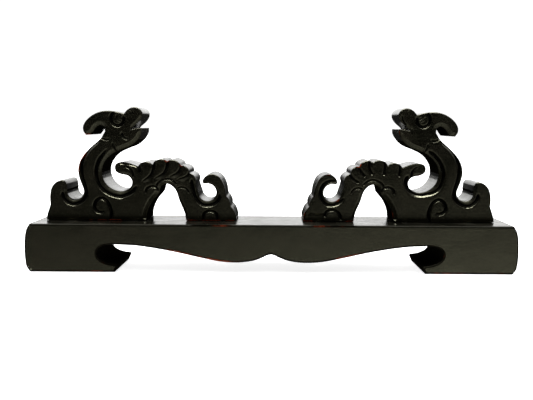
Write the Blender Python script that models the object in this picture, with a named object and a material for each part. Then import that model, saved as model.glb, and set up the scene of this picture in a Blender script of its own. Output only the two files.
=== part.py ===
"""A carved and lacquered wooden display stand: a low table-shaped base that carries two facing dragons.

The dragons' bodies make the two cradles that the displayed object lies in.
Frame: origin on the floor under the middle of the base, +X along the stand, +Y towards its back, +Z up.
Every size below is in millimetres. Meshes are made in metres.
"""

from math import cos, pi, radians, sin

import bmesh
import bpy
from mathutils import Vector
from mathutils.geometry import interpolate_bezier

MM = 0.001

# Base board, sawn in one piece from a thick plank
BASE_HALF_LENGTH = 150.0
BASE_HEIGHT = 29.4
BASE_DEPTH = 50.0
END_DRAW = 3.2  # how far the bulging ends draw in at the deck and at the sole
HOOK_TIP = {"left": 93.4, "right": 92.0}  # from the middle to the tip of each foot's hook

# Dragons, sawn from thinner boards that stand on the deck
DRAGON_THICKNESS = 31.0
DRAGON_BACK_INSET = 1.0  # from the base's back edge
DRAGON_FOOT_OUTER = {"left": 141.2, "right": 139.4}  # from the middle to each outer toe
ARRIS = 0.6  # small flat on every long edge
GAP = 0.3  # clearance between pieces

# Dowels, glued halfway into the deck and halfway into each dragon
DOWEL_RADIUS = 3.0
DOWEL_IN_DRAGON = 9.0
DOWEL_IN_BASE = 10.7
DOWEL_CHAMFER = 0.7
BORE_END_ROOM = 0.8

# Screws, driven up through the base from counterbores
SCREW_RADIUS = 1.8
SCREW_LENGTH = 24.0
SCREW_POINT = 4.0
HEAD_RADIUS = 3.6
HEAD_HEIGHT = 2.2
SLOT_WIDTH = 1.0
SLOT_DEPTH = 1.1
COUNTERBORE_RADIUS = 4.4

# Fixings along each dragon, measured from its outer toe
FIXINGS = {
    "body": {"dowel_at": 16.0, "screw_at": 55.5, "screw_seat": 19.5},
    "tail": {"dowel_at": 95.5, "screw_at": 110.0, "screw_seat": 15.0},
}

SMOOTH_STEPS = 3  # straight pieces between two neighbouring points of a smooth run
ARC_STEP = radians(16)
ROUND_SIDES = 24

DRAGON_BACK = BASE_DEPTH / 2 - DRAGON_BACK_INSET
DRAGON_FRONT = DRAGON_BACK - DRAGON_THICKNESS
DRAGON_MIDDLE = (DRAGON_BACK + DRAGON_FRONT) / 2
DRAGON_SOLE = BASE_HEIGHT + GAP


# Outlines, as lists of (along, up) points


def smooth(*points):
    """A smooth run through the points, straight-ended, sampled with Bezier segments."""
    knots = [Vector(point) for point in points]
    last = len(knots) - 1
    tangents = []
    for i in range(len(knots)):
        tangents.append((knots[min(i + 1, last)] - knots[max(i - 1, 0)]).normalized())
    run = [knots[0]]
    for i in range(last):
        reach = (knots[i + 1] - knots[i]).length / 3
        handle_out = knots[i] + tangents[i] * reach
        handle_in = knots[i + 1] - tangents[i + 1] * reach
        run += interpolate_bezier(knots[i], handle_out, handle_in, knots[i + 1], SMOOTH_STEPS + 1)[1:]
    return [(point[0], point[1]) for point in run]


def arc(centre, radius, start, end):
    """Part of a circle, between two angles in degrees."""
    sweep = radians(end - start)
    steps = max(2, round(abs(sweep) / ARC_STEP))
    angles = [radians(start) + sweep * i / steps for i in range(steps + 1)]
    return [(centre[0] + radius * cos(a), centre[1] + radius * sin(a)) for a in angles]


def scallops(dips, rise):
    """Shallow bulges from one dip to the next, each rising to a share of its own width."""
    run = []
    for dip, following in zip(dips, dips[1:]):
        start = Vector(dip)
        across = Vector(following) - start
        out = Vector((-across.y, across.x)) * rise
        near = start + across * 0.22 + out * 0.76
        crown = start + across * 0.52 + out
        far = start + across * 0.82 + out * 0.7
        run += smooth(start, near, crown, far, following)
    return run


def joined(*runs):
    """The runs end to end, without the points that they share."""
    outline = []
    for point in (point for run in runs for point in run):
        if not outline or (Vector(point) - Vector(outline[-1])).length > 0.05:
            outline.append(point)
    return outline


def dragon_outline():
    """Clockwise from the outer toe: curl, neck, head, throat, scaled back, tail and arch."""
    foot = smooth((0.0, 0.0), (0.4, 3.4), (2.5, 9.7))
    outer_curl = smooth(
        (2.5, 9.7), (2.3, 14.6), (3.3, 20.1), (5.9, 23.5), (9.5, 25.1), (12.2, 24.1), (13.2, 19.6)
    )
    neck_notch = arc((18.4, 18.2), 5.3, 165, 375)
    neck_back = smooth(
        (23.5, 19.6), (20.9, 27.0), (20.4, 32.7), (22.5, 38.8), (27.8, 45.2), (34.3, 50.9), (37.4, 55.5)
    )
    horn_under = smooth((37.4, 55.5), (36.8, 58.5), (34.4, 59.6), (32.0, 58.3), (30.1, 55.7), (28.6, 53.7))
    horn_top = smooth(
        (25.6, 53.4), (23.9, 56.0), (24.0, 59.4), (26.7, 63.4), (31.6, 66.8), (37.1, 68.4), (43.1, 68.2),
        (49.4, 66.7)
    )
    snout = smooth(
        (49.4, 66.7), (51.6, 69.2), (55.3, 70.8), (59.1, 69.7), (60.9, 66.5), (59.3, 62.6), (55.4, 59.0)
    )
    mouth = [(53.6, 56.8), (57.2, 57.7), (60.3, 57.9)]
    jaw_and_throat = smooth(
        (60.3, 57.9), (60.1, 54.8), (57.9, 50.7), (53.5, 47.0), (47.2, 44.4), (41.7, 41.7), (37.6, 37.7),
        (35.2, 32.5), (35.7, 26.1), (39.8, 20.7), (46.6, 18.2), (52.3, 20.2), (54.1, 24.4), (51.8, 27.9),
        (47.5, 28.9)
    )
    shoulder_curl = smooth(
        (47.5, 28.9), (44.2, 30.5), (43.3, 33.7), (45.3, 36.2), (51.1, 36.3), (57.8, 34.0)
    )
    scale_dips = [(57.8, 34.0), (66.8, 35.2), (75.9, 37.1), (84.6, 34.4), (90.1, 29.8), (93.7, 23.4)]
    back = scallops(scale_dips, 0.25)
    tail_slope = smooth((93.7, 23.4), (94.6, 20.2), (95.8, 16.8))
    tail_notch = arc((101.2, 17.9), 5.6, 190, 415)
    tail_curl = smooth(
        (104.4, 22.5), (101.6, 23.5), (98.8, 23.4), (98.1, 25.0), (100.0, 28.0), (104.4, 29.5),
        (108.9, 27.4), (111.7, 22.3), (113.0, 15.6)
    )
    tail_edge = scallops([(113.0, 15.6), (115.7, 9.3), (119.2, 0.0)], 0.12)
    arch = smooth(
        (87.8, 0.0), (86.6, 5.5), (83.5, 12.8), (81.6, 18.6), (78.4, 22.2), (75.0, 23.2), (71.9, 21.1),
        (70.8, 17.1), (66.3, 11.5), (63.5, 5.6), (62.7, 0.0)
    )
    return joined(
        foot, outer_curl, neck_notch, neck_back, horn_under, horn_top, snout, mouth, jaw_and_throat,
        shoulder_curl, back, tail_slope, tail_notch, tail_curl, tail_edge, arch
    )


def half_profile(hook_tip):
    """One half of the base's profile, from the middle of the apron round the hook to the deck."""
    apron = smooth(
        (0.0, 11.3), (2.0, 10.9), (5.6, 9.2), (11.0, 7.4), (20.0, 6.3), (31.0, 6.9), (44.0, 9.4),
        (58.0, 12.5), (72.0, 15.0), (84.0, 16.5), (hook_tip + 4.0, 16.9),
    )
    notch = [(4.0, 16.9), (8.6, 16.2), (12.0, 14.0), (12.7, 10.8), (10.6, 7.6), (5.8, 5.4), (0.8, 4.7)]
    hook_notch = smooth(*[(hook_tip + along, up) for along, up in notch])
    hook_end = [(hook_tip, 3.9), (hook_tip + 1.8, 0.0)]
    end = smooth(
        (BASE_HALF_LENGTH - END_DRAW, 0.0),
        (BASE_HALF_LENGTH - 0.9, 3.4),
        (BASE_HALF_LENGTH - 0.1, 9.5),
        (BASE_HALF_LENGTH, 15.0),
        (BASE_HALF_LENGTH - 0.3, 21.0),
        (BASE_HALF_LENGTH - 1.2, 25.8),
        (BASE_HALF_LENGTH - END_DRAW, BASE_HEIGHT),
    )
    return joined(apron, hook_notch, hook_end, end)


def base_outline():
    """The whole front profile: the two halves differ a little in where their hooks end, as sawn by hand."""
    left_half = [(-x, z) for x, z in reversed(half_profile(HOOK_TIP["left"])[1:])]
    return half_profile(HOOK_TIP["right"]) + left_half


# Solids


def new_object(name, mesh, material):
    piece = bpy.data.objects.new(name, mesh)
    mesh.materials.append(material)
    bpy.context.collection.objects.link(piece)
    return piece


def finish(bm, name):
    bmesh.ops.recalc_face_normals(bm, faces=bm.faces)
    mesh = bpy.data.meshes.new(name)
    bm.to_mesh(mesh)
    bm.free()
    mesh.shade_smooth()
    mesh.set_sharp_from_angle(angle=radians(30))
    return mesh


def sawn_slab(name, outline, front, back, material):
    """A board of constant outline between two depths, with a small chamfer round both faces."""
    bm = bmesh.new()
    corners = [bm.verts.new((x * MM, (front + ARRIS) * MM, z * MM)) for x, z in outline]
    front_face = bm.faces.new(corners)
    extruded = bmesh.ops.extrude_face_region(bm, geom=[front_face], use_keep_orig=True)["geom"]
    back_corners = [part for part in extruded if isinstance(part, bmesh.types.BMVert)]
    bmesh.ops.translate(bm, verts=back_corners, vec=(0, (back - front - 2 * ARRIS) * MM, 0))
    bmesh.ops.recalc_face_normals(bm, faces=bm.faces)
    faces = [face for face in bm.faces if len(face.verts) == len(outline)]
    bmesh.ops.inset_individual(bm, faces=faces, thickness=ARRIS * MM, depth=ARRIS * MM, use_even_offset=True)
    return new_object(name, finish(bm, name), material)


def turned(name, profile, x, y, z, material):
    """A round solid standing on (x, y, z): the profile gives (radius, height) from the bottom up."""
    bm = bmesh.new()
    rings = []
    for radius, height in profile:
        ring = []
        for i in range(ROUND_SIDES):
            turn = 2 * pi * i / ROUND_SIDES
            place = Vector((x + radius * cos(turn), y + radius * sin(turn), z + height))
            ring.append(bm.verts.new(place * MM))
        rings.append(ring)
    for lower, upper in zip(rings, rings[1:]):
        for i in range(ROUND_SIDES):
            following = (i + 1) % ROUND_SIDES
            bm.faces.new((lower[i], lower[following], upper[following], upper[i]))
    bm.faces.new(reversed(rings[0]))
    bm.faces.new(rings[-1])
    return new_object(name, finish(bm, name), material)


def box(name, low, high, material):
    bm = bmesh.new()
    bmesh.ops.create_cube(bm, size=1.0)
    for vert in bm.verts:
        for axis in range(3):
            vert.co[axis] = (high[axis] if vert.co[axis] > 0 else low[axis]) * MM
    return new_object(name, finish(bm, name), material)


def cut(piece, cutters):
    """Subtract each cutter from the piece and leave the cutter out of the model."""
    for cutter in cutters:
        cutter.hide_render = True
        cutter.display_type = "WIRE"
        modifier = piece.modifiers.new(cutter.name, "BOOLEAN")
        modifier.object = cutter
        modifier.operation = "DIFFERENCE"


def material(name, colour, roughness, metallic=0.0):
    finish_material = bpy.data.materials.new(name)
    finish_material.use_nodes = True
    shader = finish_material.node_tree.nodes["Principled BSDF"]
    shader.inputs["Base Color"].default_value = (*colour, 1.0)
    shader.inputs["Roughness"].default_value = roughness
    shader.inputs["Metallic"].default_value = metallic
    return finish_material


# The object


def clear_scene():
    for item in list(bpy.data.objects):
        bpy.data.objects.remove(item, do_unlink=True)


def make_dowel(name, x, wood):
    low = BASE_HEIGHT - DOWEL_IN_BASE
    length = DOWEL_IN_BASE + GAP + DOWEL_IN_DRAGON
    tip = DOWEL_RADIUS - DOWEL_CHAMFER
    profile = [(tip, 0), (DOWEL_RADIUS, DOWEL_CHAMFER), (DOWEL_RADIUS, length - DOWEL_CHAMFER), (tip, length)]
    turned(name, profile, x, DRAGON_MIDDLE, low, wood)


def make_screw(name, x, seat, steel):
    """A slotted cheese-head wood screw, head down, its head just under the seat of its counterbore."""
    head_top = seat - GAP
    low = head_top - HEAD_HEIGHT
    profile = [
        (HEAD_RADIUS - 0.4, 0),
        (HEAD_RADIUS, 0.4),
        (HEAD_RADIUS, HEAD_HEIGHT),
        (SCREW_RADIUS, HEAD_HEIGHT),
        (SCREW_RADIUS, HEAD_HEIGHT + SCREW_LENGTH - SCREW_POINT),
        (0.3, HEAD_HEIGHT + SCREW_LENGTH),
    ]
    screw = turned(name, profile, x, DRAGON_MIDDLE, low, steel)
    reach = HEAD_RADIUS + 1
    slot = box(
        name + "_slot_cutter",
        (x - reach, DRAGON_MIDDLE - SLOT_WIDTH / 2, low - 1),
        (x + reach, DRAGON_MIDDLE + SLOT_WIDTH / 2, low + SLOT_DEPTH),
        steel,
    )
    cut(screw, [slot])


def bore(name, x, radius, low, high, wood):
    return turned(name, [(radius, 0), (radius, high - low)], x, DRAGON_MIDDLE, low, wood)


def make_side(side, lacquer, dowel_wood, steel):
    """One dragon with its dowels and screws. Returns the cutters that the base needs."""
    sign = -1 if side == "left" else 1
    toe = DRAGON_FOOT_OUTER[side]
    outline = [(sign * (toe - along), DRAGON_SOLE + up) for along, up in dragon_outline()]
    dragon = sawn_slab(side + "_dragon", outline, DRAGON_FRONT, DRAGON_BACK, lacquer)
    dragon_cutters = []
    base_cutters = []
    for place, fixing in FIXINGS.items():
        label = side + "_" + place
        dowel_x = sign * (toe - fixing["dowel_at"])
        make_dowel(label + "_dowel", dowel_x, dowel_wood)
        wide = DOWEL_RADIUS + GAP
        top = DRAGON_SOLE + DOWEL_IN_DRAGON + BORE_END_ROOM
        low = BASE_HEIGHT - DOWEL_IN_BASE - BORE_END_ROOM
        dragon_cutters.append(bore(label + "_dowel_bore_up", dowel_x, wide, BASE_HEIGHT - 1, top, lacquer))
        base_cutters.append(bore(label + "_dowel_bore_down", dowel_x, wide, low, BASE_HEIGHT + 1, lacquer))

        screw_x = sign * (toe - fixing["screw_at"])
        seat = fixing["screw_seat"]
        make_screw(label + "_screw", screw_x, seat, steel)
        wide = SCREW_RADIUS + GAP
        top = seat - GAP + SCREW_LENGTH + BORE_END_ROOM
        dragon_cutters.append(bore(label + "_pilot_bore", screw_x, wide, BASE_HEIGHT - 1, top, lacquer))
        base_cutters.append(bore(label + "_shank_bore", screw_x, wide, seat - 1, BASE_HEIGHT + 1, lacquer))
        base_cutters.append(bore(label + "_counterbore", screw_x, COUNTERBORE_RADIUS, -1, seat, lacquer))
    cut(dragon, dragon_cutters)
    return base_cutters


def build():
    clear_scene()
    lacquer = material("black_lacquered_wood", (0.012, 0.010, 0.008), 0.22)
    dowel_wood = material("pale_dowel_wood", (0.45, 0.30, 0.17), 0.65)
    steel = material("plated_steel", (0.42, 0.41, 0.39), 0.35, 1.0)
    base = sawn_slab("base_board", base_outline(), -BASE_DEPTH / 2, BASE_DEPTH / 2, lacquer)
    base_cutters = []
    for side in ("left", "right"):
        base_cutters += make_side(side, lacquer, dowel_wood, steel)
    cut(base, base_cutters)


build()
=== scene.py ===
import math

import bmesh
import bpy
import numpy as np
from mathutils import Matrix, Vector
from mathutils.geometry import delaunay_2d_cdt


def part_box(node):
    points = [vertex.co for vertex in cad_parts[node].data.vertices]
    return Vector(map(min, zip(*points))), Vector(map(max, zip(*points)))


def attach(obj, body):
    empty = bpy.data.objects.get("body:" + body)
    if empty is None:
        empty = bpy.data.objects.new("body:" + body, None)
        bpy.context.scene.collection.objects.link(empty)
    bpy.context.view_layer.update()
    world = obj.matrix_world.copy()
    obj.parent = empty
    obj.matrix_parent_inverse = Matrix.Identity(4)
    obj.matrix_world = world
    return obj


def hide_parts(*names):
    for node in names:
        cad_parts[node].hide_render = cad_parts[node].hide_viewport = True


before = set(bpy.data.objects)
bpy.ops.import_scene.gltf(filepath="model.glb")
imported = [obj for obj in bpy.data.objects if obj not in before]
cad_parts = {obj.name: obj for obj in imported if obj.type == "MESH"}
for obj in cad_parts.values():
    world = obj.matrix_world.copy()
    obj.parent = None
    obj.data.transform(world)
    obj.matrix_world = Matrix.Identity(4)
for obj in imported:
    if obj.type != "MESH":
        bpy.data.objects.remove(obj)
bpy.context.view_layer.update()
MM = 0.001

# ---------------------------------------------------------------------------------------------
# Base board
# One plank 50 mm thick, sawn to a profile that runs from the deck round two hooked scroll feet
# and a wavy apron. Its long edges are eased by hand, and it is lacquered black-brown over red.

ARRIS = 1.0 * MM
ARRIS_STEPS = 6
FLAT_RIM = 0.7 * MM
WORN_WALL = 1.6 * MM
BOARD_STEP = 0.8 * MM
CLEAR_OF_BORES = -10 * MM
SHARP_TURN = 38.0


def sawn_line(node, depth):
    """The closed line, in x and z, along which a plane at the given depth cuts a node."""
    mesh = bmesh.new()
    mesh.from_mesh(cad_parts[node].data)
    bmesh.ops.remove_doubles(mesh, verts=mesh.verts, dist=1e-6)
    cut = bmesh.ops.bisect_plane(
        mesh,
        geom=mesh.verts[:] + mesh.edges[:] + mesh.faces[:],
        plane_co=(0, depth, 0),
        plane_no=(0, 1, 0),
    )["geom_cut"]
    edges = [e for e in cut if isinstance(e, bmesh.types.BMEdge)]
    joined = {}
    for edge in edges:
        a, b = edge.verts
        joined.setdefault(a, []).append(b)
        joined.setdefault(b, []).append(a)
    start = edges[0].verts[0]
    loop, before, here = [start], None, start
    while True:
        ahead = [v for v in joined[here] if v is not before][0]
        if ahead is start:
            break
        loop.append(ahead)
        before, here = here, ahead
    line = np.array([(v.co.x, v.co.z) for v in loop])
    mesh.free()
    return line if turned_area(line) > 0 else line[::-1]


def turned_area(line):
    after = np.roll(line, -1, axis=0)
    return 0.5 * float(np.sum(line[:, 0] * after[:, 1] - after[:, 0] * line[:, 1]))


def split_long(line, longest):
    """Adds points near the ends of long straight runs, so that they stay straight when smoothed."""
    points = []
    for a, b in zip(line, np.roll(line, -1, axis=0)):
        points.append(a)
        length = float(np.linalg.norm(b - a))
        if length > longest:
            for along in np.linspace(0.3 * longest / length, 1 - 0.3 * longest / length, 8):
                points.append(a + (b - a) * along)
    return np.array(points)


def is_corner(line):
    """Which points of a closed line turn too sharply to be part of a curve."""
    into = line - np.roll(line, 1, axis=0)
    out = np.roll(line, -1, axis=0) - line
    cross = into[:, 0] * out[:, 1] - into[:, 1] * out[:, 0]
    dot = np.sum(into * out, axis=1)
    return np.abs(np.degrees(np.arctan2(cross, dot))) > SHARP_TURN


def flowing(line, step, closed=True):
    """A smooth curve through the points, with its sharp corners kept, in equal steps."""
    count = len(line)
    corner = is_corner(line) if closed else np.zeros(count, bool)
    fine = []
    spans = count if closed else count - 1
    for i in range(spans):
        a, b = line[i], line[(i + 1) % count]
        before = line[i - 1] if (closed or i > 0) and not corner[i] else 2 * a - b
        after_at = i + 2
        more = closed or after_at < count
        after = line[after_at % count] if more and not corner[(i + 1) % count] else 2 * b - a
        span = float(np.linalg.norm(b - a))
        pull_a = (b - before) * span / (span + float(np.linalg.norm(a - before)))
        pull_b = (after - a) * span / (span + float(np.linalg.norm(after - b)))
        for t in np.arange(0, 1, min(0.25, step / max(span, 1e-9))):
            h = 1 - t
            fine.append(
                a * (h * h * (1 + 2 * t))
                + b * (t * t * (3 - 2 * t))
                + pull_a * (t * h * h)
                - pull_b * (t * t * h)
            )
    if not closed:
        fine.append(line[-1])
    fine = np.array(fine)
    path = np.vstack([fine, fine[:1]]) if closed else fine
    along = np.concatenate([[0], np.cumsum(np.linalg.norm(np.diff(path, axis=0), axis=1))])
    steps = max(2, int(round(along[-1] / step)))
    places = np.linspace(0, along[-1], steps + 1)
    if closed:
        corners = along[:-1][[bool(near_corner(p, line[corner])) for p in fine]]
        for place in corners:
            places[np.argmin(np.abs(places[:-1] - place))] = place
        places = places[:-1]
    return np.column_stack([np.interp(places, along, path[:, k]) for k in (0, 1)])


def near_corner(point, corners):
    return len(corners) and np.min(np.linalg.norm(corners - point, axis=1)) < 1e-7


def wire(name, points, closed):
    """A bare line of edges, as a path or a section for the board's node tree."""
    mesh = bpy.data.meshes.new(name)
    edges = [(i, i + 1) for i in range(len(points) - 1)]
    if closed:
        edges.append((len(points) - 1, 0))
    mesh.from_pydata([(x, y, 0) for x, y in points], edges, [])
    obj = bpy.data.objects.new(name, mesh)
    bpy.context.collection.objects.link(obj)
    return obj


def eased_section(depth):
    """Half round the plank's thickness: flat rim, eased edge, straight wall, eased edge, flat rim."""
    near = [(-ARRIS - FLAT_RIM, 0.0, 0.0), (-ARRIS - 0.3 * FLAT_RIM, 0.0, 0.15)]
    for i in range(ARRIS_STEPS + 1):
        turn = math.pi / 2 * i / ARRIS_STEPS
        near.append((-ARRIS + ARRIS * math.sin(turn), ARRIS * (1 - math.cos(turn)), 0.82))
    near.append((0.0, ARRIS + 0.4 * WORN_WALL, 0.4))
    near.append((0.0, ARRIS + WORN_WALL, 0.0))
    half = [(x, y - depth / 2, worn) for x, y, worn in near]
    rows = half + [(x, -y, worn) for x, y, worn in reversed(half)]
    section = wire("eased_section", [(x, y) for x, y, worn in rows], False)
    worn = section.data.attributes.new("worn", "FLOAT", "POINT")
    worn.data.foreach_set("value", [row[2] for row in rows])
    return section


class Tree:
    """A Geometry Nodes tree with named inputs, run once on an object and then taken off it."""

    def __init__(self, name):
        self.tree = bpy.data.node_groups.new(name, "GeometryNodeTree")
        self.sockets = {}
        self.socket("Geometry", "NodeSocketGeometry")
        self.tree.interface.new_socket(name="Geometry", in_out="OUTPUT", socket_type="NodeSocketGeometry")
        self.inlet = self.tree.nodes.new("NodeGroupInput")

    def socket(self, name, kind):
        made = self.tree.interface.new_socket(name=name, in_out="INPUT", socket_type=kind)
        self.sockets[name] = made.identifier
        return made

    def given(self, name):
        return self.inlet.outputs[name]

    def node(self, kind, settings=None, out=0, **inputs):
        made = self.tree.nodes.new(kind)
        for key, value in (settings or {}).items():
            setattr(made, key, value)
        for key, value in inputs.items():
            slot = made.inputs[int(key[1:])] if key[1:].isdigit() else made.inputs[key.replace("_", " ")]
            if isinstance(value, bpy.types.NodeSocket):
                self.tree.links.new(value, slot)
            else:
                slot.default_value = value
        return made.outputs[out]

    def close(self, geometry):
        real = self.node("GeometryNodeRealizeInstances", Geometry=geometry)
        dressed = self.node("GeometryNodeSetMaterial", Geometry=real, Material=self.given("Finish"))
        outlet = self.tree.nodes.new("NodeGroupOutput")
        self.tree.links.new(dressed, outlet.inputs["Geometry"])

    def run(self, obj, name, **values):
        modifier = obj.modifiers.new("shape", "NODES")
        modifier.node_group = self.tree
        for key, value in values.items():
            modifier[self.sockets[key.replace("_", " ")]] = value
        seen = obj.evaluated_get(bpy.context.evaluated_depsgraph_get())
        mesh = bpy.data.meshes.new_from_object(seen)
        mesh.name = name
        obj.modifiers.remove(modifier)
        bpy.data.objects.remove(obj)
        made = bpy.data.objects.new(name, mesh)
        bpy.context.collection.objects.link(made)
        return made


def board_tree():
    tree = Tree("board_from_a_line")
    tree.socket("Section", "NodeSocketObject")
    tree.socket("Thickness", "NodeSocketFloat")
    tree.socket("Rim", "NodeSocketFloat")
    tree.socket("Finish", "NodeSocketMaterial")
    path = tree.node("GeometryNodeMeshToCurve", Mesh=tree.given("Geometry"))
    path = tree.node("GeometryNodeSetCurveNormal", {"mode": "Z_UP"}, Curve=path)
    section = tree.node("GeometryNodeObjectInfo", out="Geometry", Object=tree.given("Section"))
    section = tree.node("GeometryNodeMeshToCurve", Mesh=section)
    wall = tree.node("GeometryNodeCurveToMesh", Curve=path, Profile_Curve=section)
    normal = tree.node("GeometryNodeInputNormal", out="Normal")
    inward = tree.node("ShaderNodeMath", {"operation": "MULTIPLY"}, _0=tree.given("Rim"), _1=-1.0)
    shift = tree.node("ShaderNodeVectorMath", {"operation": "SCALE"}, _0=normal, Scale=inward)
    inner = tree.node("GeometryNodeSetPosition", Geometry=path, Offset=shift)
    face = tree.node("GeometryNodeFillCurve", {"mode": "NGONS"}, Curve=inner)
    half = tree.node("ShaderNodeMath", {"operation": "MULTIPLY"}, _0=tree.given("Thickness"), _1=0.5)
    minus = tree.node("ShaderNodeMath", {"operation": "MULTIPLY"}, _0=half, _1=-1.0)
    up = tree.node("ShaderNodeCombineXYZ", Z=half)
    down = tree.node("ShaderNodeCombineXYZ", Z=minus)
    front = tree.node("GeometryNodeTransform", Geometry=face, Translation=up)
    back = tree.node("GeometryNodeTransform", Geometry=face, Translation=down)
    join = tree.tree.nodes.new("GeometryNodeJoinGeometry")
    for part in (wall, front, back):
        tree.tree.links.new(part, join.inputs[0])
    whole = tree.node("GeometryNodeMergeByDistance", Geometry=join.outputs[0], Distance=2e-6)
    stood = tree.node("GeometryNodeTransform", Geometry=whole, Rotation=(math.pi / 2, 0, 0))
    tree.close(stood)
    return tree


def closed_and_smooth(obj):
    """Points every face outwards and shades the eased edges round, the flats flat."""
    mesh = bmesh.new()
    mesh.from_mesh(obj.data)
    bmesh.ops.remove_doubles(mesh, verts=mesh.verts, dist=1e-6)
    bmesh.ops.recalc_face_normals(mesh, faces=mesh.faces)
    open_edges = sum(not edge.is_manifold for edge in mesh.edges)
    for face in mesh.faces:
        face.smooth = True
    mesh.to_mesh(obj.data)
    mesh.free()
    if open_edges:
        print(obj.name, "has", open_edges, "open edges")


def drill(obj, holes):
    """Bores upright round holes, each given as x, y, radius, foot and top."""
    tool = bmesh.new()
    for x, y, radius, foot, top in holes:
        bmesh.ops.create_cone(
            tool,
            cap_ends=True,
            segments=32,
            radius1=radius,
            radius2=radius,
            depth=top - foot,
            matrix=Matrix.Translation((x, y, (foot + top) / 2)),
        )
    mesh = bpy.data.meshes.new("bit")
    tool.to_mesh(mesh)
    tool.free()
    bit = bpy.data.objects.new("bit", mesh)
    bpy.context.collection.objects.link(bit)
    cut = obj.modifiers.new("drill", "BOOLEAN")
    cut.object = bit
    cut.solver = "EXACT"
    bpy.context.view_layer.update()
    bored = bpy.data.meshes.new_from_object(obj.evaluated_get(bpy.context.evaluated_depsgraph_get()))
    obj.modifiers.remove(cut)
    obj.data = bored
    bpy.data.objects.remove(bit)


def dull_walls(obj, middle, tops, polished=()):
    """Marks what the polish missed: sawn walls within the middle, bar tops; and, as painted shade, the sides
    of deep cuts that do not face up.

    A polished place is open to the cloth: everything above a height and within a half width.
    """
    mesh = obj.data
    count = len(mesh.vertices)
    facing, place = np.empty(count * 3), np.empty(count * 3)
    mesh.vertices.foreach_get("normal", facing)
    mesh.vertices.foreach_get("co", place)
    facing, place = facing.reshape(-1, 3), place.reshape(-1, 3)
    wall = np.clip((0.75 - np.abs(facing[:, 1])) / 0.35, 0, 1)
    up = np.clip(facing[:, 2] / 0.3, 0, 1) * (place[:, 2] > tops)
    near = np.clip((middle - np.abs(place[:, 0])) / (4 * MM), 0, 1)
    dull = wall * (1 - up) * near
    for height, half_width in polished:
        high = np.clip((place[:, 2] - height) / (2 * MM), 0, 1)
        inner = np.clip((half_width - np.abs(place[:, 0])) / (2 * MM), 0, 1)
        dull = dull * (1 - 0.9 * high * inner)
    # Painted shade: the sides of deep cuts that do not face up lose their gloss and reflection, so they go
    # dark.
    if "recess" in mesh.attributes:
        cut = np.empty(count, np.float32)
        mesh.attributes["recess"].data.foreach_get("value", cut)
        dull = np.maximum(dull, np.clip(2.2 * cut, 0, 1) * (1 - np.clip(facing[:, 2] / 0.25, 0, 1)))
    layer = mesh.attributes.new("sawn", "FLOAT", "POINT")
    layer.data.foreach_set("value", dull.astype(np.float32))


def rub_places(obj, places, elsewhere):
    """Scales the wear of the eased edges: more at a few places (x, z, reach, amount), less between."""
    mesh = obj.data
    count = len(mesh.vertices)
    worn, place = np.empty(count, np.float32), np.empty(count * 3)
    mesh.attributes["worn"].data.foreach_get("value", worn)
    mesh.vertices.foreach_get("co", place)
    place = place.reshape(-1, 3) / MM
    share = np.full(count, elsewhere)
    for x, z, reach, amount in places:
        away = np.hypot(place[:, 0] - x, 2.5 * (place[:, 2] - z))
        share = np.maximum(share, amount * np.clip(1.4 - away / reach, 0, 1))
    mesh.attributes["worn"].data.foreach_set("value", (worn * share).astype(np.float32))


def node_of(material, kind, settings=None, out=0, **inputs):
    """One shader node, its sockets set or linked by name or, as _0, by number."""
    made = material.node_tree.nodes.new(kind)
    for key, value in (settings or {}).items():
        setattr(made, key, value)
    for key, value in inputs.items():
        slot = made.inputs[int(key[1:])] if key[1:].isdigit() else made.inputs[key.replace("_", " ")]
        if isinstance(value, bpy.types.NodeSocket):
            material.node_tree.links.new(value, slot)
        else:
            slot.default_value = value
    return made.outputs[out]


def blended(material, share, first, second):
    """A colour between two, each a socket or a colour, by a share from 0 to 1."""
    mix = material.node_tree.nodes.new("ShaderNodeMix")
    mix.data_type = "RGBA"
    for slot, value in ((mix.inputs[0], share), (mix.inputs[6], first), (mix.inputs[7], second)):
        if isinstance(value, bpy.types.NodeSocket):
            material.node_tree.links.new(value, slot)
        else:
            slot.default_value = value
    return mix.outputs[2]


def eased(material, value, low, high, to_low=0.0, to_high=1.0):
    """A value carried smoothly from one range to another."""
    return node_of(
        material,
        "ShaderNodeMapRange",
        {"interpolation_type": "SMOOTHSTEP"},
        Value=value,
        From_Min=low,
        From_Max=high,
        To_Min=to_low,
        To_Max=to_high,
    )


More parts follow.
